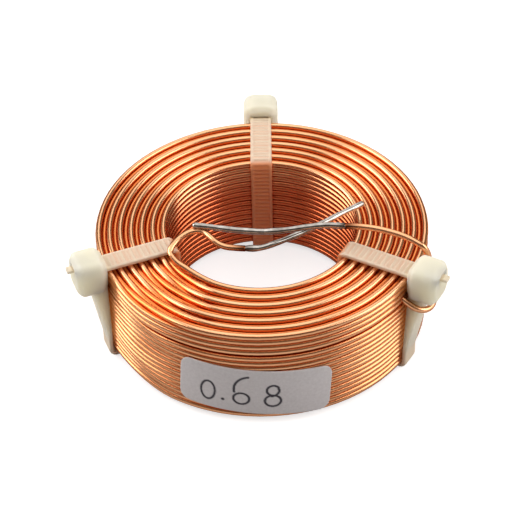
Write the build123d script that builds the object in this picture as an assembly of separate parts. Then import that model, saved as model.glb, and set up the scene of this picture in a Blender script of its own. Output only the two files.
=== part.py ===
from build123d import *
from math import cos, radians, sin, sqrt
import os

# Air-core speaker crossover inductor. Millimetres, +Z up, Z = 0 under the three tie straps it stands on.

# Winding: round enamelled wire in layers, each layer nesting in the grooves of the one below
wire_d = 0.77
turn_pitch = 0.785
turns_per_layer = 17
layer_count = 13
bore_d = 23.5
groove_share = 0.3
side_count = 40
wire_sides = 8

# Cable ties
strap_w = 2.7
strap_t = 0.6
neck_t = 1.6
tooth_pitch = 0.6
tooth_depth = 0.12
notch_share = 0.7
head_w = 4.5
head_h = 4.9
head_d = 3.8
head_rise = 1.45
head_chamfer = 0.6
tail_stub = 0.75
tail_w = 1.1
rear_tie_angle = 89
left_tie_angle = 200.5
right_tie_angle = 330.3

# Paper label on the outer wall
label_w = 17.7
label_h = 7.0
label_t = 0.15
label_corner_r = 1.3
label_gap = 0.02
label_low_edge = 0.95
label_angle = 266
label_tilt = -4

# Leads: the two ends of the wire, with tinned tips
bend_r = 1.2
sweep_bend_r = 5.0
lead_gap = 0.35
start_rise = 1.45
start_peak_rise = 2.05
finish_rise = 2.75
finish_dip = 0.9
start_enamel_share = 0.55
finish_enamel_share = 0.3

# Sizes that follow
wire_r = wire_d / 2
bore_r = bore_d / 2
layer_pitch = sqrt(wire_d**2 - (turn_pitch / 2) ** 2)
winding_h = wire_d + (turns_per_layer - 1) * turn_pitch
winding_r = bore_r + wire_d + (layer_count - 1) * layer_pitch
base_z = strap_t
top_z = base_z + winding_h
head_top_z = top_z + strap_t + head_rise
head_low_z = head_top_z - head_h


def around(angle, out, along, up):
    """The point at a distance out along a tie's own angle, moved along the wall's tangent, at a height."""
    c, s = cos(radians(angle)), sin(radians(angle))
    return Vector(out * c - along * s, out * s + along * c, up)


def over_bore(x_share, y_share, up):
    """A point above the bore, placed by shares of the bore radius."""
    return Vector(x_share * bore_r, y_share * bore_r, up)


def many_sided_ring(points):
    """A closed ring of flat faces, whose section has the given radii and heights."""
    faces = []
    for (r_a, z_a), (r_b, z_b) in zip(points, points[1:] + points[:1]):
        for side in range(side_count):
            here, there = (radians(360 / side_count * k) for k in (side, side + 1))
            corners = [(r_a, here, z_a), (r_a, there, z_a), (r_b, there, z_b), (r_b, here, z_b)]
            polygon = Wire.make_polygon([(r * cos(t), r * sin(t), z) for r, t, z in corners])
            faces.append(Face(polygon))
    return Solid(Shell(faces))


# Winding: each wall turn is a ridge, and on both faces every second layer lies half a turn lower
turn_zs = [base_z + wire_r + turn * turn_pitch for turn in range(turns_per_layer)]
layer_rs = [bore_r + wire_r + layer * layer_pitch for layer in range(layer_count)]
layer_drops = [layer % 2 * turn_pitch / 2 for layer in range(layer_count)]
groove = groove_share * wire_d
wall = []
for turn_z in turn_zs:
    wall += [(groove, turn_z - turn_pitch / 2), (0, turn_z)]
inner_wall = [(bore_r + depth, z) for depth, z in wall[1:]]
outer_wall = [(winding_r - depth, z) for depth, z in wall[1:]]
top_face = [(r, top_z - drop) for r, drop in zip(layer_rs, layer_drops)]
under_face = [(r, base_z + drop) for r, drop in zip(layer_rs, layer_drops)]
winding = many_sided_ring(inner_wall + top_face + outer_wall[::-1] + under_face[::-1])


# Cable ties: a strap round the winding's section, toothed up the bore and over the top, with the head at
# the outer top edge and a neck that thickens towards it
flat_bore_r = bore_r * cos(radians(180 / side_count))
strap_in = sqrt(flat_bore_r**2 - (strap_w / 2) ** 2)
loop_w = winding_r - strap_in
loop_mid = Pos((winding_r + strap_in) / 2, base_z + winding_h / 2)
loop = RectangleRounded(loop_w + 2 * strap_t, winding_h + 2 * strap_t, wire_r + strap_t)
loop -= RectangleRounded(loop_w, winding_h, wire_r)
notch_w = notch_share * tooth_pitch
notch = Polygon((-notch_w, tooth_depth), (0, -tooth_depth), (notch_w, tooth_depth), align=None)
top_teeth = int((loop_w - wire_d) / tooth_pitch)
bore_teeth = int((winding_h - wire_d) / tooth_pitch)
loop -= Pos(0, winding_h / 2 + strap_t) * GridLocations(tooth_pitch, 0, top_teeth, 1) * notch
loop -= Pos(-loop_w / 2 - strap_t, 0) * Rot(0, 0, 90) * GridLocations(tooth_pitch, 0, bore_teeth, 1) * notch
strap = extrude(Plane.XZ * loop_mid * loop, strap_w / 2, both=True)
root_r = winding_r + strap_t
neck_r = root_r + neck_t
neck_points = [(root_r, base_z + wire_r), (neck_r, head_low_z), (root_r, head_low_z)]
neck = extrude(Plane.XZ * Polygon(*neck_points, align=None), strap_w / 2, both=True)
head = Pos(winding_r + head_d / 2, 0, head_top_z - head_h / 2) * Box(head_d, head_w, head_h)
head = chamfer(head.edges(), head_chamfer)
tail_mid = winding_r + head_d + tail_stub / 2
tail = Pos(tail_mid, 0, top_z + strap_t / 2) * Box(tail_stub, tail_w, strap_t)
tie = strap + neck + head + tail

# Label: a rounded rectangle wrapped on the outer wall
label_r = winding_r + label_gap
label_mid_z = base_z + label_low_edge + label_h / 2
label_plane = Plane.YZ * Pos(0, label_mid_z) * Rot(0, 0, label_tilt)
patch = extrude(label_plane * RectangleRounded(label_w, label_h, label_corner_r), 2 * winding_r)
shell = Cylinder(label_r + label_t, 2 * top_z) - Cylinder(label_r, 2 * top_z)
label = Rot(0, 0, label_angle) * (patch & shell)


def wire(points, radii):
    """Wire along straight runs joined by tangent arcs, with few sides because it is so thin."""
    path = FilletPolyline(*points, radius=radii)
    return sweep(Plane(path @ 0, z_dir=path % 0) * RegularPolygon(wire_r, wire_sides), path)


# Start lead: out of the innermost turn, over the left tie's inner bend, out above the bore
first_r = bore_r + wire_r
beside_strap = strap_w / 2 + wire_r + lead_gap
start_root = around(left_tie_angle, first_r, 2 * beside_strap, top_z - wire_r)
start_lift = around(left_tie_angle, first_r, beside_strap, top_z + strap_t + wire_r / 2)
start_over = around(left_tie_angle, strap_in - strap_t, strap_w / 3, top_z + strap_t + wire_d)
start_peak = over_bore(-0.6, -0.31, top_z + start_peak_rise)
start_low = over_bore(-0.43, -0.52, top_z + start_rise)
start_turn = over_bore(0.03, -0.58, top_z + start_rise)
start_tip = over_bore(1.08, 0.12, top_z + start_rise)
start_end = start_low + (start_turn - start_low) * start_enamel_share
start_lead = wire(
    [start_root, start_lift, start_over, start_peak, start_low, start_end],
    [bend_r, bend_r, bend_r, bend_r],
)
start_lead -= winding
start_tinned = wire([start_end, start_turn, start_tip], [sweep_bend_r])

# Finish lead: out of the outer wall, round the right tie's strap under its head, up and over the top
dip_z = head_low_z - wire_r - finish_dip
past_head = head_w / 2 + wire_r + lead_gap
finish_root = around(right_tie_angle, winding_r - wire_d, -past_head, head_low_z)
finish_leave = around(right_tie_angle, neck_r + wire_r, -beside_strap, dip_z)
finish_front = around(right_tie_angle, neck_r + wire_r + lead_gap, strap_w / 5, dip_z)
finish_rise_foot = around(right_tie_angle, neck_r, past_head, dip_z + wire_d)
finish_rise_head = around(right_tie_angle, root_r, past_head, top_z + finish_rise)
finish_turn = over_bore(1.12, -0.36, top_z + finish_rise)
finish_bow = over_bore(0.12, -0.42, top_z + finish_rise)
finish_tip = over_bore(-0.71, -0.26, top_z + finish_rise)
finish_end = finish_turn + (finish_bow - finish_turn) * finish_enamel_share
finish_lead = wire(
    [finish_root, finish_leave, finish_front, finish_rise_foot, finish_rise_head, finish_turn, finish_end],
    [bend_r, bend_r, bend_r, bend_r, sweep_bend_r],
)
finish_lead -= winding
finish_tinned = wire([finish_end, finish_bow, finish_tip], [sweep_bend_r])

nodes = {
    "winding": winding,
    "start_lead": start_lead,
    "start_tinned_end": start_tinned,
    "finish_lead": finish_lead,
    "finish_tinned_end": finish_tinned,
    "tie_rear": Rot(0, 0, rear_tie_angle) * tie,
    "tie_left": Rot(0, 0, left_tie_angle) * tie,
    "tie_right": Rot(0, 0, right_tie_angle) * tie,
    "label": label,
}
os.makedirs("parts", exist_ok=True)
for name, solid in nodes.items():
    export_step(solid, f"parts/{name}.step")
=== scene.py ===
# %% [markdown]
# # A speaker crossover inductor
# The object is one long enamelled copper wire, wound into a ring with nothing inside it. Three nylon
# cable ties hold the turns, a paper label carries a number, and both ends of the wire are tinned.
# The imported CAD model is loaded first, as a fixed frame. It could be dressed as it is, but its winding
# is one ridged solid, so each piece below is made again as a finer surface in the same frame.

import bpy
import numpy as np
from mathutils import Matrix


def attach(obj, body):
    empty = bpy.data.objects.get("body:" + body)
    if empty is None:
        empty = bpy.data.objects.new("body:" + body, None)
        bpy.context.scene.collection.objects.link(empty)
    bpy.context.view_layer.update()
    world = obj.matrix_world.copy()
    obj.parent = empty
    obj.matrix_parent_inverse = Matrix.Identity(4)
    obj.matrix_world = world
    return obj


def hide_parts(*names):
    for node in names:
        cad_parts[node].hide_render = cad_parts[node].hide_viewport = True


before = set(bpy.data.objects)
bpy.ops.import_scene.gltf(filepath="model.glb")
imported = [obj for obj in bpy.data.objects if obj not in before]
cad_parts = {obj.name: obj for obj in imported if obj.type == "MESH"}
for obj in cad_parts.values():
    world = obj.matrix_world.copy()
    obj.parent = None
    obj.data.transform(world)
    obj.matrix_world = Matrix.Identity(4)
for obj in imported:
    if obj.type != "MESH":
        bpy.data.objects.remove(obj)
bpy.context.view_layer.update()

# %% [markdown]
# ## Sizes
# A coil's sizes follow from its wire. Each layer of round wire lies in the grooves of the layer below:
# the centres of three touching wires make a triangle, and its height is the pitch of the layers. These
# are the CAD source's own sizes, in millimetres, so the finer surfaces land on the same places.

# %% Sizes of the coil and its straps
MM = 0.001
WIRE_D = 0.77
WIRE_R = WIRE_D / 2
TURN_PITCH = 0.785
TURNS = 17
LAYERS = 13
BORE_R = 11.75
LAYER_PITCH = np.sqrt(WIRE_D**2 - (TURN_PITCH / 2) ** 2)
COIL_R = BORE_R + WIRE_D + (LAYERS - 1) * LAYER_PITCH
COIL_H = WIRE_D + (TURNS - 1) * TURN_PITCH
STRAP_W = 2.7
STRAP_T = 0.6
BASE_Z = STRAP_T
TOP_Z = BASE_Z + COIL_H
TIE_ANGLES = {"tie_rear": 89.0, "tie_left": 200.5, "tie_right": 330.3}
print(f"coil {2 * COIL_R:.2f} mm across and {COIL_H:.2f} mm high, on straps {STRAP_T} mm thick")

# %% [markdown]
# ## Where each turn lies
# Layers of 17 turns run down, and the layers of 16 between them run up, each turn in a groove of the
# layer inside it. Separate rings would look much the same from afar, but one numbered list of turns
# lets a single wire pass from each to the next, as the real one does.

# %% Places of the turns
layer_ids = np.repeat(np.arange(LAYERS), np.where(np.arange(LAYERS) % 2, TURNS - 1, TURNS))
turn_in_layer = np.arange(len(layer_ids)) - np.searchsorted(layer_ids, layer_ids)
runs_up = layer_ids % 2 == 1
packed_levels = np.where(runs_up, turn_in_layer + 0.5, TURNS - 1 - turn_in_layer)
print(f"{len(layer_ids)} turns in {LAYERS} layers")

# %% [markdown]
# Nothing presses on the outermost layer, so its top turns sit looser, with a wider gap under them. The
# steps between its turns are counted in pitches, and the lower turns take up what the upper ones need.

# %% The looser top of the outermost layer
LOOSE_TURNS = 4
LOOSE_STEP = 1.02
GAP_STEP = 1.3
packed_step = (TURNS - 1 - (LOOSE_TURNS - 1) * LOOSE_STEP - GAP_STEP) / (TURNS - 1 - LOOSE_TURNS)
outer_steps = np.full(TURNS - 1, packed_step)
outer_steps[TURNS - 1 - LOOSE_TURNS] = GAP_STEP
outer_steps[TURNS - LOOSE_TURNS :] = LOOSE_STEP
outer_levels = np.concatenate([[0], np.cumsum(outer_steps)])

is_outer = layer_ids == LAYERS - 1
levels = np.where(is_outer, outer_levels[np.round(packed_levels).astype(int)], packed_levels)
turn_r = BORE_R + WIRE_R + layer_ids * LAYER_PITCH
turn_z = BASE_Z + WIRE_R + levels * TURN_PITCH
shown = (layer_ids == 0) | is_outer | (levels > TURNS - 2) | (levels < 1)
print(f"{shown.sum()} of the turns are on the surface")

# %% [markdown]
# ## One wire through all the turns
# A turn keeps its own radius and height for most of the way round, and steps over to the next place in
# a short zone beside the left tie, as on a coil wound by machine. A plain helix would slope all the way
# round, so each step is an S-curve instead. Stations are closer on the turns that show, and closest in
# that zone. A slow unevenness, under a twentieth of the wire, keeps the turns from looking too perfect.

# %% Stations round one turn
STEP_END = 254.0
STEP_ZONE = 54.0
STEP_WIDTH = 24.0
STEP_DOWN_FROM = 202.0
STEP_UP_FROM = 218.0
STEP_SCATTER = 5.5


def smooth(t):
    """The S-curve 3t² - 2t³, held at 0 and 1 outside its range."""
    t = np.clip(t, 0.0, 1.0)
    return t * t * (3 - 2 * t)


def turn_shares(open_count, zone_count):
    """Shares of one turn at which it has stations: even outside the zone of the steps, closer in it."""
    zone_from = 1 - STEP_ZONE / 360
    open_part = np.linspace(0, zone_from, open_count, endpoint=False)
    return np.concatenate([open_part, np.linspace(zone_from, 1, zone_count, endpoint=False)])


scatter = STEP_SCATTER * (1 + np.sin(1.9 * layer_ids + 0.7 * turn_in_layer))
step_first = np.where(runs_up, STEP_UP_FROM, STEP_DOWN_FROM) + scatter
fine_shares = turn_shares(68, 20)
coarse_shares = turn_shares(22, 6)
print(f"{len(fine_shares)} stations on a turn that shows, {len(coarse_shares)} on one that doesn't")

# %% [markdown]
# Now the whole route at once: an angle, a radius and a height for every station of every turn. The last
# turn stops short at the foot of the wall beside the left tie, where the turn above steps into its place.

# %% The wound path
LAST_TURN_SHARE = 0.85
R_UNEVEN = 0.012
Z_UNEVEN = 0.016
Z_RIPPLE = 0.01


def lengths(path):
    """The distance along a path at each of its stations."""
    return np.concatenate([[0], np.cumsum(np.linalg.norm(np.diff(path, axis=0), axis=1))])


def wound_path():
    """Station = (r cos a, r sin a, z), where a grows with every turn, and r and z go from the turn's own
    values to the next turn's by an S-curve inside that turn's step zone. Sines of the turns wound so far
    add the unevenness, and the coil's faces limit it."""
    per_turn = np.where(shown, len(fine_shares), len(coarse_shares))
    turn = np.repeat(np.arange(len(shown)), per_turn)
    place = np.arange(len(turn)) - np.repeat(np.cumsum(per_turn) - per_turn, per_turn)
    fine = fine_shares[place % len(fine_shares)]
    coarse = coarse_shares[place % len(coarse_shares)]
    share = np.where(shown[turn], fine, coarse)
    keep = turn + share < len(shown) - 1 + LAST_TURN_SHARE
    turn, share = turn[keep], share[keep]
    angle = STEP_END + 360 * share
    step = smooth((angle - 360 - step_first[turn]) / STEP_WIDTH)
    following = np.minimum(turn + 1, len(shown) - 1)
    wound = turn + share
    r = turn_r[turn] + step * (turn_r[following] - turn_r[turn])
    z = turn_z[turn] + step * (turn_z[following] - turn_z[turn])
    r = r - R_UNEVEN * (1 + np.sin(2 * np.pi * (2.37 * wound + 0.13 * turn)))
    z = z + Z_UNEVEN * np.sin(2 * np.pi * (1.61 * wound + 0.29 * turn))
    z = z + Z_RIPPLE * np.sin(2 * np.pi * 3.23 * wound)
    z = np.clip(z, BASE_Z + WIRE_R, TOP_Z - WIRE_R)
    a = np.radians(angle)
    return np.stack([r * np.cos(a), r * np.sin(a), z], 1)


coil_path = wound_path()
print(f"{len(coil_path)} stations, {lengths(coil_path)[-1] * MM:.1f} m of wire in the coil")

# %% [markdown]
# ## The bends of the two leads
# The start lead comes off the innermost top turn, rises over the left tie and hangs out above the bore.
# The finish lead comes out of the outer wall at the lowest of the loose turns, goes round the right
# tie's strap under its head, climbs behind the head and crosses the top. Copper this thick stays where
# it is bent, so a lead isn't a hanging cord but a row of bends. Each is x, y and the height above the
# coil's top; those round the strap are first given as distances out from the axis and along the wall.

# %% Bends of the leads
START_RISE = 1.45
FINISH_RISE = 2.72
START_LEAD = [
    (-2.08, -6.49, START_RISE), (-3.3, -6.36, 1.47), (-4.55, -6.1, 1.52), (-5.55, -5.55, 1.72),
    (-6.3, -4.7, 1.95), (-6.95, -3.98, 2.05), (-7.75, -3.66, 2.03), (-8.75, -3.78, 1.93),
    (-9.75, -4.33, 1.72), (-10.6, -5.15, 1.42), (-11.1, -6.1, 1.02), (-10.45, -7.25, 0.5),
    (-9.1, -8.35, 0.1), (-7.65, -9.45, -0.2), (-5.75, -10.67, -0.36),
]
START_TIN = [
    (-2.08, -6.49), (-0.4, -6.48), (1.64, -5.68), (3.69, -4.55),
    (5.74, -3.3), (7.81, -1.95), (9.95, -0.4), (12.6, 1.37),
]
ROUND_THE_STRAP = [
    (19.9, -2.0, -2.6), (20.85, -2.05, -3.05), (21.9, -1.85, -3.65), (22.75, -1.0, -4.2),
    (23.0, 0.4, -4.4), (22.65, 1.8, -4.05), (22.0, 2.7, -2.9), (21.55, 2.95, -1.4),
    (21.25, 2.9, 0.2), (20.95, 2.8, 1.35),
]
OVER_THE_TOP = [
    (19.1, -7.85, 2.1), (18.2, -7.25, 2.42), (16.95, -6.5, 2.62), (15.3, -5.7, 2.71),
    (13.5, -5.0, 2.73), (11.75, -4.58, FINISH_RISE), (10.05, -4.38, FINISH_RISE),
]
FINISH_TIN = [
    (10.05, -4.38), (7.7, -4.16), (5.7, -4.3), (3.7, -4.7), (1.7, -4.93),
    (-0.3, -4.95), (-2.3, -4.68), (-4.3, -4.28), (-6.3, -3.8), (-8.35, -3.4),
]


def by_right_tie(out, along, up):
    """The point out along the right tie's angle and along the wall's tangent there, at a height."""
    a = np.radians(TIE_ANGLES["tie_right"])
    return (out * np.cos(a) - along * np.sin(a), out * np.sin(a) + along * np.cos(a), up)


FINISH_LEAD = [by_right_tie(*place) for place in ROUND_THE_STRAP] + OVER_THE_TOP
print(f"{len(START_LEAD)} bends on the start lead, {len(FINISH_LEAD)} on the finish lead")

# %% [markdown]
# A hand bends wire in one flowing movement, with no straight runs and sudden corners. So the leads are
# cubic curves that pass through every bend. The start lead's curve runs on into the coil's first
# stations and is cut off where the coil begins, so the two join without a kink.

# %% Smooth curves through the bends
STATION_GAP = 0.22
INTO_COIL = 6


def through(bends):
    """A cubic through every point: each stretch is the Hermite sum of its end points and of tangents
    taken from the neighbours on both sides, with stations a set distance apart. Heights are then
    counted from the table instead of the coil's top."""
    p = np.array(bends, float)
    knots = lengths(p)
    tangents = np.gradient(p, knots, axis=0)
    at = np.linspace(0, knots[-1], int(knots[-1] / STATION_GAP) + 2)
    k = np.clip(np.searchsorted(knots, at, "right") - 1, 0, len(p) - 2)
    span = (knots[k + 1] - knots[k])[:, None]
    t = (at - knots[k])[:, None] / span
    path = (2 * t**3 - 3 * t**2 + 1) * p[k] + (t**3 - 2 * t**2 + t) * span * tangents[k]
    path += (3 * t**2 - 2 * t**3) * p[k + 1] + (t**3 - t**2) * span * tangents[k + 1]
    return path + np.array([0, 0, TOP_Z])


into_coil = coil_path[[0, INTO_COIL]] - np.array([0, 0, TOP_Z])
start_path = through(START_LEAD + into_coil.tolist())
overlap = np.linalg.norm(coil_path[INTO_COIL] - coil_path[0])
start_path = start_path[np.linalg.norm(start_path - coil_path[INTO_COIL], axis=1) > overlap]
finish_path = through(FINISH_LEAD)
start_tin_path = through([(x, y, START_RISE) for x, y in START_TIN])
finish_tin_path = through([(x, y, FINISH_RISE) for x, y in FINISH_TIN])
print(f"{len(start_path)} stations on the start lead, {len(finish_path)} on the finish lead")

# %% [markdown]
# ## From a grid of points to a closed skin
# Every surface here is a grid: stations along the piece, and points around it. Neighbouring points make
# quads, and two flat caps or a last row of quads close it. A closed surface has a signed volume, and a
# negative one means that its faces point inwards, so they are turned round.

# %% Grid to skin
def skin(points, loop=False, **values):
    """Quads over a grid of n stations by m points around, closed around; loop closes it along too, and
    caps close the two ends if not. The UV is distance along, and around, in millimetres. Extra arrays
    of shape (n, m) become named values of the points."""
    n, m = points.shape[:2]
    i, j = np.meshgrid(np.arange(n if loop else n - 1), np.arange(m), indexing="ij")
    corners_i = np.stack([i, i, i + 1, i + 1], -1).reshape(-1, 4)
    corners_j = np.stack([j, j + 1, j + 1, j], -1).reshape(-1, 4)
    quads = corners_i % n * m + corners_j % m
    middles = points.mean(1)
    runs = np.linalg.norm(np.diff(middles, axis=0, append=middles[:1]), axis=1)
    along = np.concatenate([[0], np.cumsum(runs)])
    steps = np.linalg.norm(np.roll(points, -1, 1) - points, axis=2).mean(0)
    around = np.concatenate([[0], np.cumsum(steps)])
    uv = np.stack([along[corners_i], around[corners_j]], -1)
    caps = [] if loop else [np.arange(m)[::-1], (n - 1) * m + np.arange(m)]
    p = points.reshape(-1, 3)
    a, b, c, d = (p[quads[:, k]] for k in range(4))
    volume = np.einsum("ij,ij->", a, np.cross(b, c)) + np.einsum("ij,ij->", a, np.cross(c, d))
    if volume < 0:
        quads, uv, caps = quads[:, ::-1], uv[:, ::-1], [cap[::-1] for cap in caps]
    flat_values = {key: np.broadcast_to(value, (n, m)).ravel() for key, value in values.items()}
    return {"points": p, "quads": quads, "uv": uv, "caps": caps, "values": flat_values}


unit_box = np.array([(0, 0, 0), (1, 0, 0), (1, 1, 0), (0, 1, 0)], float)
box_skin = skin(np.stack([unit_box, unit_box + [0, 0, 1]]))
print(f"a box as a skin: {len(box_skin['quads'])} quads and {len(box_skin['caps'])} caps")

# %% [markdown]
# One or more skins make a piece. Its object stays at the origin with its place in its mesh, as a CAD
# node's does. It rides on the only body, takes one material, and hides the CAD nodes that it stands for.

# %% Skins to a piece
def make_piece(name, skins, material, nodes):
    """One mesh object in metres: the skins' points and faces one after another, with their values."""
    starts = np.cumsum([0] + [len(s["points"]) for s in skins])
    points = np.concatenate([s["points"] for s in skins]) * MM
    faces = [quad for s, k in zip(skins, starts) for quad in (s["quads"] + k).tolist()]
    faces += [(cap + k).tolist() for s, k in zip(skins, starts) for cap in s["caps"]]
    mesh = bpy.data.meshes.new(name)
    mesh.from_pydata(points, [], faces)
    quad_uv = np.concatenate([s["uv"].reshape(-1, 2) for s in skins])
    loop_uv = np.zeros((len(mesh.loops), 2))
    loop_uv[: len(quad_uv)] = quad_uv
    mesh.uv_layers.new(name="surface_mm").data.foreach_set("uv", loop_uv.ravel())
    for key in skins[0]["values"]:
        layer = mesh.attributes.new(key, "FLOAT", "POINT")
        layer.data.foreach_set("value", np.concatenate([s["values"][key] for s in skins]))
    mesh.polygons.foreach_set("use_smooth", np.ones(len(mesh.polygons), bool))
    mesh.materials.append(material)
    mesh.validate()
    piece = bpy.data.objects.new(name, mesh)
    bpy.context.scene.collection.objects.link(piece)
    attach(piece, "root")
    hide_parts(*nodes)
    print(f"{name}: {sum(len(face) - 2 for face in faces)} triangles")


# %% [markdown]
# ## Colours and nodes
# Colours are written in hex, as they look on a screen, and one function turns them into the linear
# values that light works with. Materials are node trees, so one more function adds a node with its
# settings, its constant inputs and its links.

# %% Colour and node helpers
def colour(code):
    """sRGB hex to linear red, green and blue, with an alpha of 1."""
    c = np.array([int(code[k : k + 2], 16) for k in (1, 3, 5)]) / 255
    linear = np.where(c <= 0.04045, c / 12.92, ((c + 0.055) / 1.055) ** 2.4)
    return (*linear.tolist(), 1.0)


def add(tree, kind, links=None, values=None, stops=(), **options):
    """Adds a node: links joins its inputs to other nodes' outputs and values sets them, both by name or
    number; stops are a colour ramp's positions and hex colours; options are the node's own settings."""
    node = tree.nodes.new(kind)
    for key, option in options.items():
        setattr(node, key, option)
    for key, value in (values or {}).items():
        node.inputs[key].default_value = value
    for key, output in (links or {}).items():
        tree.links.new(output, node.inputs[key])
    for k, (position, code) in enumerate(stops):
        elements = node.color_ramp.elements
        element = elements[k] if k < 2 else elements.new(position)
        element.position = position
        element.color = colour(code)
    return node


def blank(name):
    """A new material and its node tree, emptied."""
    material = bpy.data.materials.new(name)
    material.use_nodes = True
    material.node_tree.nodes.clear()
    return material, material.node_tree


# The Mix node has sockets for several kinds of data under the same names, so its colour ones go by number.
MIX_FACTOR, MIX_A, MIX_B, MIX_RESULT = 0, 6, 7, 2
print("a mid grey on screen is this much light:", round(colour("#808080")[0], 3))

# %% [markdown]
# ## Enamelled copper
# Winding wire is drawn copper dipped in clear amber enamel. The copper is the metal, and the enamel is
# a thin gloss coat over it. Between the turns light goes from copper to copper and comes out redder
# each time. The renderer follows that light only so far, so it is painted shade: each point also carries
# how deep it lies in a groove and how far down the bore, and the colour there is painted a deeper red.
# The crests are the copper's colour made paler, a painted highlight. A third value says where the heat
# of the soldering has browned the enamel.

# %% Enamelled copper
def enamelled_copper():
    """To the eye: pale orange crests, deep orange grooves and a sharp highlight along every turn. The
    pale crests are partly a painted highlight, and the deep grooves and bore are painted shade. The tone
    drifts slowly along the wire, and drawing has left faint lines along it. Real drawing lines are
    finer: these are as coarse as they have to be to show."""
    drift_mm = 26.0
    line_mm = 0.16
    line_run_mm = 14.0
    material, tree = blank("enamelled_copper")
    uv = add(tree, "ShaderNodeUVMap", uv_map="surface_mm").outputs["UV"]
    noise = {"Scale": 1.0, "Detail": 2.0}
    drift_at = add(tree, "ShaderNodeMapping", {"Vector": uv}, {"Scale": (1 / drift_mm, 0, 1)})
    drift = add(tree, "ShaderNodeTexNoise", {"Vector": drift_at.outputs[0]}, noise)
    line_at = add(tree, "ShaderNodeMapping", {"Vector": uv}, {"Scale": (1 / line_run_mm, 1 / line_mm, 1)})
    lines = add(tree, "ShaderNodeTexNoise", {"Vector": line_at.outputs[0]}, noise).outputs["Fac"]
    # The crests' tone is the copper's own colour made paler: partly a painted highlight.
    crests = [(0.3, "#F1B283"), (0.5, "#F5BB8D"), (0.7, "#F8C498")]
    tone = add(tree, "ShaderNodeValToRGB", {"Fac": drift.outputs["Fac"]}, stops=crests).outputs["Color"]
    # Groove and bore mix in painted shade, a deeper red where light bounces copper to copper; scorch is
    # the real browned enamel.
    for value, code in (("groove", "#E48645"), ("bore", "#CF4E16"), ("scorch", "#6E3A1C")):
        share = add(tree, "ShaderNodeAttribute", attribute_name=value).outputs["Fac"]
        links = {MIX_FACTOR: share, MIX_A: tone}
        mix = add(tree, "ShaderNodeMix", links, {MIX_B: colour(code)}, data_type="RGBA")
        tone = mix.outputs[MIX_RESULT]
    gloss = add(tree, "ShaderNodeMapRange", {"Value": lines}, {"To Min": 0.19, "To Max": 0.29})
    bump = add(tree, "ShaderNodeBump", {"Height": lines}, {"Strength": 0.1, "Distance": 0.04 * MM})
    shader = add(
        tree, "ShaderNodeBsdfPrincipled",
        {"Base Color": tone, "Roughness": gloss.outputs["Result"], "Normal": bump.outputs["Normal"]},
        {
            "Metallic": 1.0, "Specular Tint": colour("#D98A50"), "Coat Weight": 0.15,
            "Coat Roughness": 0.15, "Coat IOR": 1.5, "Coat Tint": colour("#DDA066"),
        },
    )
    add(tree, "ShaderNodeOutputMaterial", {"Surface": shader.outputs["BSDF"]})
    return material


copper = enamelled_copper()
print(f"{copper.name}: {len(copper.node_tree.nodes)} nodes")

# %% [markdown]
# ## A round wire along a path
# A curve object with a round bevel would give a tube too, but here every point needs its own values, so
# the section is carried along the path by hand. Two directions square to the path span it. One leans as
# near as it can to a chosen direction that the path never takes, so the section never flips over.

# %% Tubes
def unit(v):
    """Each vector divided by its own length."""
    return v / np.linalg.norm(v, axis=-1, keepdims=True)


def tube(path, radius, lean, sides):
    """Point = path + radius (cos t · side + sin t · rise), with rise the part of lean square to the path
    and side = path direction × rise."""
    ahead = unit(np.gradient(path, axis=0))
    lean = unit(np.array(lean, float))
    rise = unit(lean - (ahead @ lean)[:, None] * ahead)
    side = np.cross(ahead, rise)
    t = np.linspace(0, 2 * np.pi, sides, endpoint=False)
    radius = np.broadcast_to(np.asarray(radius, float), (len(path), sides))[..., None]
    spokes = np.cos(t)[:, None] * side[:, None] + np.sin(t)[:, None] * rise[:, None]
    return path[:, None] + radius * spokes


print(f"the finish lead is {lengths(finish_path)[-1]:.1f} mm long up to its solder")

# %% [markdown]
# ## The copper wire
# The start lead and the whole winding are one tube, and the finish lead is another. Ten sides are
# enough for a wire that is about six pixels thick in the picture. The painted groove and bore shade that
# the material asks for follows from each point's distance to the coil's nearest wall and face.

# %% Copper wire
WIRE_SIDES = 10
WALL_DEPTH = 0.65 * WIRE_R
FACE_DEPTH = 1.3 * WIRE_R
# The bore's painted shade: a deeper red further down the bore's wall.
BORE_PAINTED_SHADE = 0.68
BORE_SLACK = 0.05
BORE_SHADE_FROM = 0.3
BORE_SHADE_RUN = 5.0
SCORCH_RUN = 1.5
UP = (0, 0, 1)
FINISH_LEAN = np.subtract(by_right_tie(1, 0, 0), by_right_tie(0, 1, 0))


def groove_painted_shade(r, z):
    """The share of painted groove shade: how deep a point lies under the coil's nearest wall and face,
    each as an S-curve over about a wire's radius: 0 on the crest of a turn, near 1 where two turns touch,
    and 0 on the leads outside."""
    in_wall = smooth(np.minimum(r - BORE_R, COIL_R - r) / WALL_DEPTH)
    in_face = smooth(np.minimum(z - BASE_Z, TOP_Z - z) / FACE_DEPTH)
    return np.minimum(in_wall, in_face)


def bore_painted_shade(r, z):
    """The share of painted bore shade: how far down the bore's wall a point lies, as an S-curve, and 0 off
    that wall.
    """
    on_wall = (r > BORE_R - BORE_SLACK) & (r < BORE_R + WIRE_D)
    return BORE_PAINTED_SHADE * on_wall * smooth((TOP_Z - BORE_SHADE_FROM - z) / BORE_SHADE_RUN)


def copper_skin(path, lean, solder_end):
    """A tube with its painted groove and bore shade; the scorch falls off as a bell curve with the
    distance to the solder.
    """
    points = tube(path, WIRE_R, lean, WIRE_SIDES)
    r = np.hypot(points[..., 0], points[..., 1])
    z = points[..., 2]
    away = np.linalg.norm(path - path[solder_end], axis=1)
    scorch = np.exp(-((away / SCORCH_RUN) ** 2))[:, None]
    return skin(points, groove=groove_painted_shade(r, z), bore=bore_painted_shade(r, z), scorch=scorch)


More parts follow.
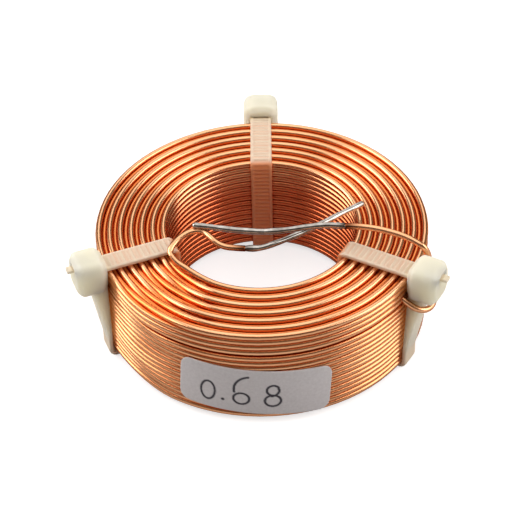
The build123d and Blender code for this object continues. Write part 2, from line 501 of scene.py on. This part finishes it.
wire = [
    copper_skin(np.concatenate([start_path, coil_path]), UP, 0),
    copper_skin(finish_path, FINISH_LEAN, -1),
]
make_piece("copper_wire", wire, copper, ["winding", "start_lead", "finish_lead"])

# %% [markdown]
# ## Solder
# The ends of the wire are stripped and dipped in solder, which freezes with a soft, slightly lumpy skin.
# Where it meets the enamel, burnt flux leaves a dark ring. The largest lumps are modelled in the next
# step. The small ones are too shallow to change the outline, so a noise gives them as tone, gloss and
# bump.

# %% Tinned copper
def tinned_copper():
    """To the eye: grey metal with a bright soft line along its top, and a dark brown ring at one end."""
    grain_mm = 0.9
    material, tree = blank("tinned_copper")
    place = add(tree, "ShaderNodeTexCoord").outputs["Object"]
    noise = {"Scale": 1 / (grain_mm * MM), "Detail": 4.0}
    grain = add(tree, "ShaderNodeTexNoise", {"Vector": place}, noise).outputs["Fac"]
    greys = [(0.3, "#8C8680"), (0.55, "#ABA6A0"), (0.75, "#CBC7C1")]
    clean = add(tree, "ShaderNodeValToRGB", {"Fac": grain}, stops=greys).outputs["Color"]
    burn = add(tree, "ShaderNodeAttribute", attribute_name="burn").outputs["Fac"]
    links = {MIX_FACTOR: burn, MIX_A: clean}
    tone = add(tree, "ShaderNodeMix", links, {MIX_B: colour("#3A2417")}, data_type="RGBA")
    gloss = add(tree, "ShaderNodeMapRange", {"Value": grain}, {"To Min": 0.08, "To Max": 0.16})
    bump = add(tree, "ShaderNodeBump", {"Height": grain}, {"Strength": 0.12, "Distance": 0.1 * MM})
    links = {
        "Base Color": tone.outputs[MIX_RESULT],
        "Roughness": gloss.outputs["Result"],
        "Normal": bump.outputs["Normal"],
    }
    shader = add(tree, "ShaderNodeBsdfPrincipled", links, {"Metallic": 1.0})
    add(tree, "ShaderNodeOutputMaterial", {"Surface": shader.outputs["BSDF"]})
    return material


tin = tinned_copper()
print(f"{tin.name}: {len(tin.node_tree.nodes)} nodes")

# %% [markdown]
# ## The tinned ends
# A plain tube would look like a pin. Solder is thickest just past the enamel, where it drew back, it
# ripples slowly along the wire, and it rounds off the cut tip, so the radius changes along and around.

# %% Tinned ends
TIN_SIDES = 14
TIN_THIN = 0.015
RIPPLE_ALONG = 0.012
RIPPLE_ROUND = 0.01
SWELL = 0.05
SWELL_AT = 0.9
SWELL_RUN = 0.6
PINCH = 0.03
PINCH_RUN = 0.3
TIP_RUN = 0.2
TIP_SHARE = 0.65
BURN_RUN = 0.75
BURN_SPREAD = 0.25


def tinned_end(path, phase):
    """Radius = the wire's, plus a bell-shaped swell, less a bell-shaped pinch at the enamel, plus sines
    along and around, times a quarter circle at the tip. Burn is a bell curve from the enamel on."""
    s = lengths(path)
    left = s[-1] - s
    t = np.linspace(0, 2 * np.pi, TIN_SIDES, endpoint=False)
    ripple = RIPPLE_ALONG * np.sin(2.1 * s + phase)[:, None]
    ripple = ripple + RIPPLE_ROUND * np.sin(1.3 * s[:, None] + 2 * t + phase)
    swell = SWELL * np.exp(-(((s - SWELL_AT) / SWELL_RUN) ** 2)) - PINCH * np.exp(-((s / PINCH_RUN) ** 2))
    quarter_circle = np.sqrt(np.clip(1 - (1 - np.clip(left / TIP_RUN, 0, 1)) ** 2, 0, 1))
    round_off = TIP_SHARE + (1 - TIP_SHARE) * quarter_circle
    radius = (WIRE_R - TIN_THIN + swell[:, None] + ripple) * round_off[:, None]
    uneven = 1 - BURN_SPREAD + BURN_SPREAD * np.sin(3 * t + phase)
    burn = np.exp(-((s / BURN_RUN) ** 2))[:, None] * uneven
    return skin(tube(path, radius, UP, TIN_SIDES), burn=np.clip(burn, 0, 1))


make_piece("start_tin", [tinned_end(start_tin_path, 0.4)], tin, ["start_tinned_end"])
make_piece("finish_tin", [tinned_end(finish_tin_path, 2.1)], tin, ["finish_tinned_end"])

# %% [markdown]
# ## Natural nylon
# Uncoloured nylon 6.6 is milky: light goes in and comes out again nearby, most of all in the thick
# heads. Where a thin strap lies on copper, the copper's colour comes through it. Transmission could
# carry that, but it takes many more samples to come out clean, so that light is painted on instead:
# each point carries how warm it looks, and a second value says how milky it is.

# %% Nylon
def natural_nylon():
    """To the eye: cream heads with soft shading, and beige straps with a painted copper-orange glow,
    strongest in the bore.
    """
    flow_mm = 3.0
    material, tree = blank("natural_nylon")
    place = add(tree, "ShaderNodeTexCoord").outputs["Object"]
    noise = {"Scale": 1 / (flow_mm * MM), "Detail": 3.0}
    flow = add(tree, "ShaderNodeTexNoise", {"Vector": place}, noise).outputs["Fac"]
    warm = add(tree, "ShaderNodeAttribute", attribute_name="warm").outputs["Fac"]
    milk = add(tree, "ShaderNodeAttribute", attribute_name="milk").outputs["Fac"]
    drift = add(tree, "ShaderNodeMapRange", {"Value": flow}, {"To Min": -0.04, "To Max": 0.04})
    spot = add(tree, "ShaderNodeMath", {0: warm, 1: drift.outputs["Result"]}, operation="ADD")
    # The orange end of the ramp is painted light: the copper's glow through and off the nylon.
    creams = [(0.0, "#F1E4C2"), (0.3, "#DFC6AB"), (1.0, "#F0905C")]
    tone = add(tree, "ShaderNodeValToRGB", {"Fac": spot.outputs[0]}, stops=creams)
    gloss = add(tree, "ShaderNodeMapRange", {"Value": flow}, {"To Min": 0.34, "To Max": 0.5})
    links = {
        "Base Color": tone.outputs["Color"],
        "Roughness": gloss.outputs["Result"],
        "Subsurface Weight": milk,
    }
    values = {"IOR": 1.53, "Subsurface Radius": (1.0, 1.0, 0.9), "Subsurface Scale": 5 * MM}
    shader = add(tree, "ShaderNodeBsdfPrincipled", links, values)
    add(tree, "ShaderNodeOutputMaterial", {"Surface": shader.outputs["BSDF"]})
    return material


nylon = natural_nylon()
print(f"{nylon.name}: {len(nylon.node_tree.nodes)} nodes")

# %% [markdown]
# ## The strap's middle line
# A tie's strap leaves the head downwards, passes under the coil and up the bore, and comes back over
# the top through the head, where it is bent up a little and cut off. Pulled tight, it has straight runs
# and a small bend at each edge of the coil, so its line is runs and quarter circles, drawn in the tie's
# own upright plane as distance from the axis and height.

# %% Strap line
HEAD_W = 4.5
HEAD_H = 4.9
HEAD_D = 3.8
HEAD_RISE = 1.45
HEAD_TOP = TOP_Z + STRAP_T + HEAD_RISE
ROOT_SHARE = 0.8
TAIL_STUB = 0.75
TAIL_LIFT = 0.45
LIFT_FROM = 0.3
LIFT_RUN = 2.6
WALL_STATIONS = 60
BEND_STATIONS = 18
BORE_STATIONS = 160
TOP_STATIONS = 170
CAD_SIDES = 40
STRAP_IN = np.sqrt((BORE_R * np.cos(np.pi / CAD_SIDES)) ** 2 - (STRAP_W / 2) ** 2)
STRAP_BEND = WIRE_R + STRAP_T / 2


def tail_lift(depth):
    """How far the strap is bent up at a depth inside the head, by an S-curve."""
    return TAIL_LIFT * smooth((depth - LIFT_FROM) / LIFT_RUN)


def straight(r, z):
    """A run along which r or z stays the same."""
    return np.stack(np.broadcast_arrays(r, z), 1)


def quarter(r, z, first):
    """A quarter circle about (r, z), clockwise from an angle in degrees."""
    a = np.radians(np.linspace(first, first - 90, BEND_STATIONS))
    return np.stack([r + STRAP_BEND * np.cos(a), z + STRAP_BEND * np.sin(a)], 1)


def strap_line():
    """Runs and quarter circles one after another: down, under, up the bore, and out over the top."""
    wall = COIL_R + STRAP_T / 2
    bore = STRAP_IN - STRAP_T / 2
    over = TOP_Z + STRAP_T / 2
    low_z = BASE_Z - STRAP_T / 2 + STRAP_BEND
    high_z = over - STRAP_BEND
    out_r = wall - STRAP_BEND
    in_r = bore + STRAP_BEND
    top_r = np.linspace(in_r, COIL_R + HEAD_D + TAIL_STUB, TOP_STATIONS)[1:]
    return np.concatenate([
        straight(wall, np.linspace(HEAD_TOP - ROOT_SHARE * HEAD_H, low_z, WALL_STATIONS)),
        quarter(out_r, low_z, 0),
        straight(np.linspace(out_r, in_r, WALL_STATIONS)[1:-1], BASE_Z - STRAP_T / 2),
        quarter(in_r, low_z, -90),
        straight(bore, np.linspace(low_z, high_z, BORE_STATIONS)[1:-1]),
        quarter(in_r, high_z, -180),
        straight(top_r, over + tail_lift(top_r - COIL_R)),
    ])


tie_line = strap_line()
along_tie = lengths(tie_line)
print(f"a strap is {along_tie[-1]:.1f} mm long from its root to its cut end")

# %% [markdown]
# ## The strap's section
# A moulded strap has two smooth rails and a row of teeth between them. Its root is smooth and thickens
# into a neck below the head, and its cut tail is narrow. All of that is one rounded oblong whose outer
# face is pushed out or sunk from station to station. As a bump in the material the teeth would vanish
# at the strap's outline.

# %% Strap section
NECK_T = 1.6
NECK_RUN = 9.5
NUB_BACK = 0.35
NUB_START = COIL_R + HEAD_D - NUB_BACK
NUB_RUN = 0.25
NUB_NARROWED = 0.64
NUB_THINNED = 0.1
TEETH_FROM = 20.0
TEETH_EASE = 3.0
TOOTH_PITCH = 0.6
NOTCH_DEPTH = 0.12
TOOTH_SLOPE = 0.7
RAIL_STEP = 0.03
RAIL_FROM = 0.8
RAIL_EASE = 0.12
SIDE_SQUARENESS = 7
FACE_SQUARENESS = 4
SECTION_POINTS = 48
section_t = np.linspace(0, 2 * np.pi, SECTION_POINTS, endpoint=False)


def oblong(wave, squareness):
    """Cosine or sine raised so that the two together draw a rounded oblong: higher powers, squarer."""
    return np.sign(wave) * np.abs(wave) ** (2 / squareness)


def strap_section():
    """Across and outward places of the section's points at every station, and the depth there of the
    notches between the teeth: a sawtooth of the distance along, kept to the middle of the outer face."""
    s = along_tie[:, None]
    outer = np.sin(section_t)
    nub = smooth((tie_line[:, :1] - NUB_START) / NUB_RUN)
    across = STRAP_W / 2 * oblong(np.cos(section_t), SIDE_SQUARENESS) * (1 - NUB_NARROWED * nub)
    outward = STRAP_T / 2 * oblong(outer, FACE_SQUARENESS) * (1 - NUB_THINNED * nub)
    outward = outward + NECK_T * np.clip(1 - s / NECK_RUN, 0, 1) * (outer > 0)
    toothed = smooth((s - TEETH_FROM) / TEETH_EASE)
    toothed = toothed * smooth((RAIL_FROM - np.abs(across) / (STRAP_W / 2)) / RAIL_EASE) * (outer > 0.5)
    tooth = s / TOOTH_PITCH % 1
    saw = np.where(tooth < TOOTH_SLOPE, tooth / TOOTH_SLOPE, (1 - tooth) / (1 - TOOTH_SLOPE))
    outward = outward - np.sign(outward) * toothed * (RAIL_STEP + NOTCH_DEPTH * saw)
    return across, outward, toothed * saw


strap_x, strap_y, strap_notches = strap_section()
print(f"a strap's section has {strap_x.shape[1]} points at each of {strap_x.shape[0]} stations")

# %% [markdown]
# ## The strap's painted copper glow
# The copper's light through a strap is painted on, most of all in the bore, where the light has met
# copper first. On the top it is painted over each raised turn and between the teeth, and on the side
# that lies on the wire. Past the coil's edge and on the thick neck the nylon keeps its own cream.

# %% Strap's painted copper glow
WARM_PLAIN = 0.22
WARM_IN_BORE = 0.7
WARM_ON_TOP = 0.02
WARM_ON_TURN = 0.12
COOL_PAST_EDGE = 0.16
COOL_ON_NECK = 0.19
WARM_AGAINST_COPPER = 0.28
WARM_NOTCH = 0.1
NECK_END = 10.0
NECK_EASE = 2.0
TOP_EASE = 0.4
BORE_EASE = 0.6
EDGE_RUN = 1.2
CLEAR_EASE = 0.4
THIN_MILK = 0.25
on_neck = smooth((NECK_END - along_tie[:, None]) / NECK_EASE)


def painted_copper_glow():
    """The painted copper glow: a sum of S-curves of the strap's distance from the axis, its height and the
    distance along it.
    """
    r = tie_line[:, :1]
    z = tie_line[:, 1:]
    on_top = smooth((z - TOP_Z) / TOP_EASE)
    in_bore = smooth((BORE_R - r + BORE_EASE / 2) / BORE_EASE) * (1 - on_top)
    past_edge = smooth((r - COIL_R + EDGE_RUN) / EDGE_RUN)
    raised_turn = 0.5 + 0.5 * np.cos(np.pi * (r - BORE_R - WIRE_R) / LAYER_PITCH)
    over_turns = on_top * (1 - past_edge) * (WARM_ON_TOP + WARM_ON_TURN * raised_turn)
    warm = WARM_PLAIN + WARM_IN_BORE * in_bore + over_turns
    warm = warm - COOL_PAST_EDGE * on_top * past_edge - COOL_ON_NECK * on_neck
    clear_of_coil = smooth((r - COIL_R - CLEAR_EASE) / CLEAR_EASE) * on_top
    against_copper = smooth(0.5 - strap_y / STRAP_T) * (1 - clear_of_coil)
    return warm + WARM_AGAINST_COPPER * against_copper + WARM_NOTCH * strap_notches


strap_painted_glow = painted_copper_glow()
strap_milk = THIN_MILK + (1 - THIN_MILK) * on_neck
print(f"strap warmth from {strap_painted_glow.min():.2f} to {strap_painted_glow.max():.2f}")

# %% [markdown]
# ## Straps in place
# The section is carried along the middle line, then turned about the coil's axis to the tie's angle.
# The right strap was pulled on a little askew, so its lower part turns a little further.

# %% Strap skin
def turned(points, angle):
    """Points turned about the coil's axis."""
    c = np.cos(np.radians(angle))
    w = np.sin(np.radians(angle))
    x, y, z = points[..., 0], points[..., 1], points[..., 2]
    return np.stack([x * c - y * w, x * w + y * c, z], -1)


def strap_skin(angle, askew):
    """Point = middle line + section across + section outward, with outward = path direction × across.
    The turn grows by S-curves down the outer wall, up to askew."""
    r = tie_line[:, 0]
    z = tie_line[:, 1]
    path = np.stack([r, np.zeros(len(r)), z], 1)
    across = np.array([0.0, 1.0, 0.0])
    outward = np.cross(unit(np.gradient(path, axis=0)), across)
    points = path[:, None] + strap_x[..., None] * across + strap_y[..., None] * outward[:, None]
    down = smooth((TOP_Z - z) / COIL_H) * smooth((r - BORE_R) / (COIL_R - BORE_R))
    points = turned(points, (angle + askew * down)[:, None])
    return skin(points, warm=strap_painted_glow, milk=strap_milk)


STRAPS_ASKEW = {"tie_rear": 0.0, "tie_left": 0.0, "tie_right": -2.5}
straps = {name: strap_skin(TIE_ANGLES[name], askew) for name, askew in STRAPS_ASKEW.items()}
print(f"{len(straps)} straps")

# %% [markdown]
# ## The heads
# A tie's head is a moulded block with chamfered edges and a slot through it. A cube with a hole cut by
# a boolean would have hard edges there, so the head is a ring about its slot: one section that starts
# inside the slot, goes out over the face by the coil, along the outside and in again over the far face.

# %% Head skin
HEAD_CHAMFER = 0.6
HEAD_STATIONS = 96
HEAD_GAP = 0.02
CORNER_CUT = 1.72
ROUNDNESS = 12
SLOT_SQUARENESS = 8
SLOT_GRIP_Y = 0.01
SLOT_GRIP_Z = 0.02
MOUTH_NARROWED = 0.6
MOUTH_FROM = HEAD_D - 1.2
MOUTH_RUN = 0.6
WARM_ON_HEAD = 0.14
WARM_DEPTH = 1.2
WARM_DROP = 1.5
OUT_MM = 1.2


def cut_square(u):
    """Cosine and sine stretched so that they draw a square with its corners cut and softened: each is
    divided by a high power mean of the square's and the cut's distances."""
    c = np.abs(np.cos(u))
    w = np.abs(np.sin(u))
    reach = (c**ROUNDNESS + w**ROUNDNESS + ((c + w) / CORNER_CUT) ** ROUNDNESS) ** (1 / ROUNDNESS)
    return np.cos(u) / reach, np.sin(u) / reach


def head_section():
    """Knots give how far out each point is, from the slot's outline (0) to the head's (1), its depth
    and how far it is drawn in by the chamfer. The stations are spread by distance, with the whole way
    out counted as OUT_MM. Averaging five neighbours rounds the corners."""
    d, k = HEAD_D, HEAD_CHAMFER
    knots = np.array([
        (0, d / 2, 0), (0, 0.05, 0), (0.03, 0, 0), (1, 0, k), (1, k, 0),
        (1, d - k, 0), (1, d, k), (0.1, d, 0), (0, d - 0.3, 0), (0, d / 2, 0),
    ])
    run = lengths(knots * [OUT_MM, 1, 1])
    at = np.linspace(0, run[-1], HEAD_STATIONS, endpoint=False)
    section = np.stack([np.interp(at, run, column)[:, None] for column in knots.T])
    return np.mean([np.roll(section, step, 1) for step in range(-2, 3)], 0)


def head_skin(angle):
    """Point = the slot's outline + out · (the head's outline - the slot's). The slot rises with the bent
    strap and narrows at the far face, where the cut tail comes out."""
    out, depth, inset = head_section()
    u = np.linspace(0, 2 * np.pi, HEAD_STATIONS, endpoint=False)
    cut_y, cut_z = cut_square(u)
    mouth = 1 - MOUTH_NARROWED * smooth((depth - MOUTH_FROM) / MOUTH_RUN)
    slot_y = (STRAP_W / 2 - SLOT_GRIP_Y) * mouth * oblong(np.cos(u), SLOT_SQUARENESS)
    slot_z = TOP_Z + STRAP_T / 2 + tail_lift(depth)
    slot_z = slot_z + (STRAP_T / 2 - SLOT_GRIP_Z) * oblong(np.sin(u), SLOT_SQUARENESS)
    y = slot_y + out * ((HEAD_W / 2 - inset) * cut_y - slot_y)
    z = slot_z + out * (HEAD_TOP - HEAD_H / 2 + (HEAD_H / 2 - inset) * cut_z - slot_z)
    points = np.stack([np.broadcast_to(COIL_R + HEAD_GAP + depth, y.shape), y, z], 2)
    # Painted copper glow on the head's face by the coil, below the coil's top.
    warm = WARM_ON_HEAD * smooth(1 - depth / WARM_DEPTH) * smooth((TOP_Z - z) / WARM_DROP)
    return skin(turned(points, angle), loop=True, warm=warm, milk=1.0)


for name, strap in straps.items():
    tie = [strap, head_skin(TIE_ANGLES[name])]
    make_piece("nylon_" + name, tie, nylon, [name])

# %% [markdown]
# ## Paper
# The label is matt paper tape. Its fibres give a faint mottle, and the pen's ink sinks into them. An
# image could carry the number, but a value at each point, 1 under the pen, needs no file and stays as
# sharp as the grid is fine.

# %% Inked paper
def inked_paper():
    """To the eye: a flat grey-white with hardly a highlight, and soft-edged dark pen strokes. The grey is
    painted shade on white paper, for its front that lies in shade.
    """
    fibre_mm = 0.35
    material, tree = blank("paper_tape")
    place = add(tree, "ShaderNodeTexCoord").outputs["Object"]
    noise = {"Scale": 1 / (fibre_mm * MM), "Detail": 5.0}
    fibre = add(tree, "ShaderNodeTexNoise", {"Vector": place}, noise).outputs["Fac"]
    # Painted shade: white paper given a grey tone, as its front lies in shade.
    whites = [(0.25, "#CAC5C6"), (0.75, "#D7D3D4")]
    sheet = add(tree, "ShaderNodeValToRGB", {"Fac": fibre}, stops=whites).outputs["Color"]
    ink = add(tree, "ShaderNodeAttribute", attribute_name="ink").outputs["Fac"]
    links = {MIX_FACTOR: ink, MIX_A: sheet}
    tone = add(tree, "ShaderNodeMix", links, {MIX_B: colour("#2B2530")}, data_type="RGBA")
    bump = add(tree, "ShaderNodeBump", {"Height": fibre}, {"Strength": 0.15, "Distance": 0.05 * MM})
    links = {"Base Color": tone.outputs[MIX_RESULT], "Normal": bump.outputs["Normal"]}
    shader = add(tree, "ShaderNodeBsdfPrincipled", links, {"Roughness": 0.62})
    add(tree, "ShaderNodeOutputMaterial", {"Surface": shader.outputs["BSDF"]})
    return material


paper = inked_paper()
print(f"{paper.name}: {len(paper.node_tree.nodes)} nodes")

# %% [markdown]
# ## The number
# The number is a plain one, written by hand in round strokes. Each stroke is a part of an ellipse, and
# a point of the label is inked when the nearest stroke is within the pen's radius.

# %% Pen strokes
PEN_R = 0.12
INK_EDGE = 0.08
STROKE_POINTS = 40
PEN_BLOCKS = 20


def arc_stroke(x, y, rx, ry, first, last):
    """Points of part of an ellipse, with angles in degrees."""
    a = np.radians(np.linspace(first, last, STROKE_POINTS))
    return np.stack([x + rx * np.cos(a), y + ry * np.sin(a)], 1)


pen_dots = np.concatenate([
    arc_stroke(-5.6, -0.75, 0.85, 1.5, 70, 430),
    arc_stroke(-3.75, -1.75, 0.06, 0.06, 0, 360),
    arc_stroke(-0.55, 0.35, 1.95, 2.1, 100, 195),
    arc_stroke(-1.55, -1.2, 0.95, 0.9, 180, 530),
    arc_stroke(2.15, 0.45, 0.75, 0.8, 40, 270),
    arc_stroke(2.2, -1.25, 0.95, 0.9, 100, -250),
    arc_stroke(1.75, 0.4, 1.1, 0.95, -75, 25),
])


def ink_on(x, y):
    """1 where the nearest stroke point is within the pen's radius, falling to 0 over a soft edge.
    The stroke points are taken in blocks, which keeps the arrays small."""
    near = np.full(x.shape, np.inf)
    for dots in np.array_split(pen_dots, PEN_BLOCKS):
        gap = np.hypot(x[..., None] - dots[:, 0], y[..., None] - dots[:, 1]).min(-1)
        near = np.minimum(near, gap)
    return smooth((PEN_R + INK_EDGE - near) / INK_EDGE)


print(f"{len(pen_dots)} pen points")

# %% [markdown]
# ## The label
# The strip is a rounded rectangle, stuck on a little askew and bent round the wall. It is worked out
# flat, tilted, and wrapped: a distance along the paper becomes an angle round the axis. A rectangle
# with a modifier to bend it would do too, but the pen strokes need the flat places in any case.

# %% Label
LABEL_ARC = 18.35
LABEL_H = 7.0
LABEL_T = 0.15
LABEL_CORNER = 1.3
LABEL_GAP = 0.015
LABEL_R = COIL_R + LABEL_GAP
LABEL_ANGLE = 266.0
LABEL_TILT = np.radians(-4.0)
LABEL_LOW_EDGE = 0.95
LABEL_MID = BASE_Z + LABEL_LOW_EDGE + LABEL_H / 2
LABEL_COLUMNS = 190
LABEL_ROWS = 76


def label_skin():
    """Across: y runs over the face's height, which shrinks at the ends by the corner's quarter circle,
    up the outer face and back down the inner one. Both are tilted in the wall's plane, then wrapped:
    angle = distance / radius."""
    x = np.linspace(-LABEL_ARC / 2, LABEL_ARC / 2, LABEL_COLUMNS)
    into = np.clip(np.abs(x) - (LABEL_ARC / 2 - LABEL_CORNER), 0, LABEL_CORNER)
    half = LABEL_H / 2 - LABEL_CORNER + np.sqrt(np.clip(LABEL_CORNER**2 - into**2, 0, None))
    up = np.linspace(-1, 1, LABEL_ROWS)
    outer = np.repeat([1.0, 0.0], LABEL_ROWS)
    y = half[:, None] * np.concatenate([up, up[::-1]])
    x = np.broadcast_to(x[:, None], y.shape)
    along = x * np.cos(LABEL_TILT) - y * np.sin(LABEL_TILT)
    z = LABEL_MID + x * np.sin(LABEL_TILT) + y * np.cos(LABEL_TILT)
    angle = along / LABEL_R + np.radians(LABEL_ANGLE)
    r = LABEL_R + LABEL_T * outer
    points = np.stack([r * np.cos(angle), r * np.sin(angle), z], 2)
    return skin(points, ink=ink_on(x, y) * outer)


make_piece("label_strip", [label_skin()], paper, ["label"])

# %% [markdown]
# ## The floor
# The coil stands on a pale sweep of paper that is pure white in the picture. More light would whiten it
# and bleach the object too. So the paper is a plain light grey that takes the object's shadow, and it
# adds some white of its own where the camera looks at it, and a trace where a reflection does.

# %% White sweep
FLOOR_HALF = 3.0
WHITE_TO_CAMERA = 0.7
WHITE_TO_MIRRORS = 0.05


def white_sweep():
    """To the eye: even white, a little grey only under and beside the coil. The faint mottle is drawn
    far coarser than paper fibres, which wouldn't show: three patches to 50 mm."""
    mottle_mm = 50 / 3
    material, tree = blank("white_sweep")
    place = add(tree, "ShaderNodeTexCoord").outputs["Object"]
    noise = {"Scale": 1 / (mottle_mm * MM), "Detail": 2.0}
    mottle = add(tree, "ShaderNodeTexNoise", {"Vector": place}, noise).outputs["Fac"]
    greys = [(0.3, "#C4C4C4"), (0.7, "#C8C8C8")]
    tone = add(tree, "ShaderNodeValToRGB", {"Fac": mottle}, stops=greys).outputs["Color"]
    plain = add(tree, "ShaderNodeBsdfDiffuse", {"Color": tone})
    rays = add(tree, "ShaderNodeLightPath").outputs
    links = {0: rays["Is Glossy Ray"], 1: rays["Is Transmission Ray"]}
    mirrored = add(tree, "ShaderNodeMath", links, operation="MAXIMUM").outputs[0]
    trace = add(tree, "ShaderNodeMath", {0: mirrored}, {1: WHITE_TO_MIRRORS}, operation="MULTIPLY")
    seen = {0: rays["Is Camera Ray"]}
    whole = add(tree, "ShaderNodeMath", seen, {1: WHITE_TO_CAMERA}, operation="MULTIPLY")
    links = {0: whole.outputs[0], 1: trace.outputs[0]}
    strength = add(tree, "ShaderNodeMath", links, operation="MAXIMUM").outputs[0]
    white = add(tree, "ShaderNodeEmission", {"Strength": strength}, {"Color": colour("#FFFFFF")})
    both = add(tree, "ShaderNodeAddShader", {0: plain.outputs[0], 1: white.outputs[0]})
    add(tree, "ShaderNodeOutputMaterial", {"Surface": both.outputs[0]})
    return material


floor_corners = np.array([(-1, -1, 0), (1, -1, 0), (1, 1, 0), (-1, 1, 0)]) * FLOOR_HALF
floor_mesh = bpy.data.meshes.new("floor")
floor_mesh.from_pydata(floor_corners, [], [(0, 1, 2, 3)])
floor_mesh.materials.append(white_sweep())
floor = bpy.data.objects.new("floor", floor_mesh)
bpy.context.scene.collection.objects.link(floor)
print(f"floor {2 * FLOOR_HALF:.0f} m square")

# %% [markdown]
# ## The light
# Metal shows what is around it. Two tall soft boxes, left and right, put the long bright bands on the
# walls, a wide one above lights the top, and a weak one behind edges the rear. A sun lamp would give
# each turn only a thin line. The room is dim and a little warm, so the grooves keep their depth.

# %% Room and soft boxes
MIDDLE = (0, 0, 0.008)
STRAIGHT_DOWN = 0.999


def aim(obj, place, target, roll=0.0):
    """Places an object so that its -Z looks at the target and its Y is as upright as it can be, then
    rolls it about that line of sight."""
    back = unit(place - target)
    level = np.cross([0, 0, 1.0], back)
    right = unit(level) if abs(back[2]) < STRAIGHT_DOWN else np.array([1.0, 0, 0])
    up = np.cross(back, right)
    matrix = np.eye(4)
    matrix[:3, 0] = right * np.cos(roll) - up * np.sin(roll)
    matrix[:3, 1] = right * np.sin(roll) + up * np.cos(roll)
    matrix[:3, 2] = back
    matrix[:3, 3] = place
    obj.matrix_world = matrix.T.tolist()
    bpy.context.scene.collection.objects.link(obj)


def soft_box(name, place, target, size, watts):
    """A rectangular lamp that faces a point."""
    lamp = bpy.data.lights.new(name, "AREA")
    lamp.shape = "RECTANGLE"
    lamp.size, lamp.size_y = size
    lamp.energy = watts
    aim(bpy.data.objects.new(name, lamp), np.array(place), np.array(target))
    print(f"{name}: {watts} W")


def round_coil(angle, distance, height):
    """A place at an angle round the coil's axis."""
    return (distance * np.cos(np.radians(angle)), distance * np.sin(np.radians(angle)), height)


world = bpy.data.worlds.new("studio")
bpy.context.scene.world = world
world.use_nodes = True
world.node_tree.nodes.clear()
room = add(world.node_tree, "ShaderNodeBackground", values={"Color": colour("#8C8078"), "Strength": 0.62})
add(world.node_tree, "ShaderNodeOutputWorld", {"Surface": room.outputs[0]})
soft_box("left_box", round_coil(168, 0.38, 0.22), MIDDLE, (0.36, 0.42), 1.8)
soft_box("right_box", round_coil(354, 0.38, 0.22), MIDDLE, (0.36, 0.42), 1.45)
soft_box("top_box", (0, 0.2, 0.5), (0, 0.2, 0), (0.42, 0.9), 1.68)
soft_box("back_box", (0, 0.66, 0.27), (0, 0, 0.1), (0.42, 0.44), 0.55)

# %% [markdown]
# ## The camera
# The photograph looks down at the coil from about 41 degrees. Distance and lens could be guessed, but
# they set how much smaller the far side looks, so they come from a fit of the coil's outlines. A slight
# roll matches the tilt of the photograph.

# %% Camera
CAMERA_RISE = np.radians(41.185)
CAMERA_FAR = 235.07
CAMERA_ROLL = np.radians(1.722)
camera_data = bpy.data.cameras.new("camera")
camera_data.lens = 132.91
camera_data.sensor_width = 36.0
camera_data.clip_start = 0.01
camera = bpy.data.objects.new("camera", camera_data)
camera_target = np.array([-0.927, 0.0, 8.612]) * MM
camera_back = np.array([0, -np.cos(CAMERA_RISE), np.sin(CAMERA_RISE)])
aim(camera, camera_target + CAMERA_FAR * MM * camera_back, camera_target, CAMERA_ROLL)
bpy.context.scene.camera = camera
bpy.context.scene.view_settings.view_transform = "Standard"
print(f"camera {CAMERA_FAR:.0f} mm from the coil, lens {camera_data.lens:.0f} mm")
